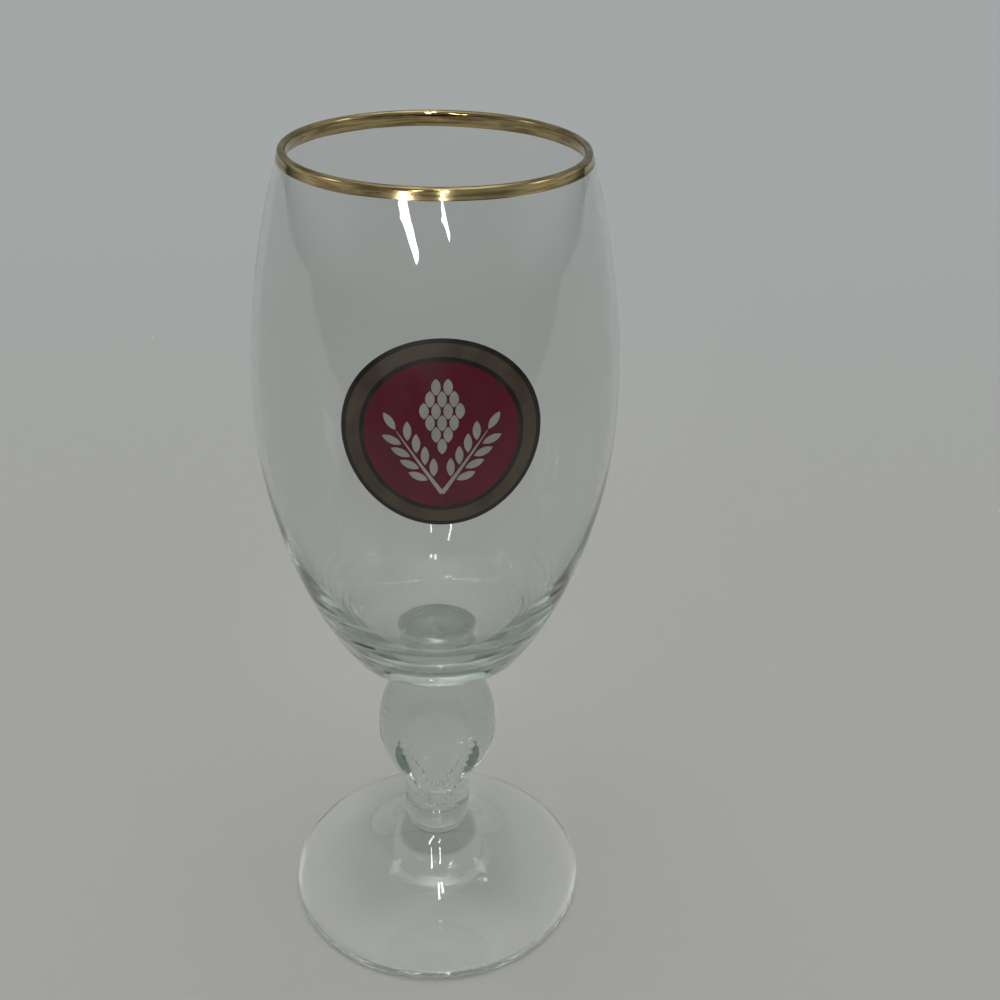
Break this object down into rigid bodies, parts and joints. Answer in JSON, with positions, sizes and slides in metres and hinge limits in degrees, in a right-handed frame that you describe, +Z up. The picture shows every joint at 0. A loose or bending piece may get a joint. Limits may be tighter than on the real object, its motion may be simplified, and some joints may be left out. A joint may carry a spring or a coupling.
{
  "type": "chalice beer glass",
  "caption": "Stemmed chalice beer glass with a wide curved bowl, gold rim, round printed badge, knopped stem with thumb cuts and a flared foot.",
  "frame": {"origin": "centre of the plane that the foot rests on", "axes": "+Z up along the axis of the glass, the badge and the front thumb cut face -Y"},
  "size_m": [0.0808, 0.081, 0.2],
  "materials": {
    "clear_glass": "clear, fire polished",
    "pressed_glass": "clear, pressed, softly rounded",
    "gold": "fired burnish gold, worn",
    "enamel_black": "fired enamel, satin",
    "enamel_bronze": "fired enamel, satin",
    "enamel_red": "fired enamel, satin",
    "enamel_white": "fired enamel, satin"
  },
  "bodies": {
    "root": {"bowl": "clear_glass", "stem": "pressed_glass", "foot": "pressed_glass", "rim_band": "gold", "badge_keylines": "enamel_black", "badge_border": "enamel_bronze", "badge_field": "enamel_red", "badge_motif": "enamel_white"}
  },
  "joints": []
}
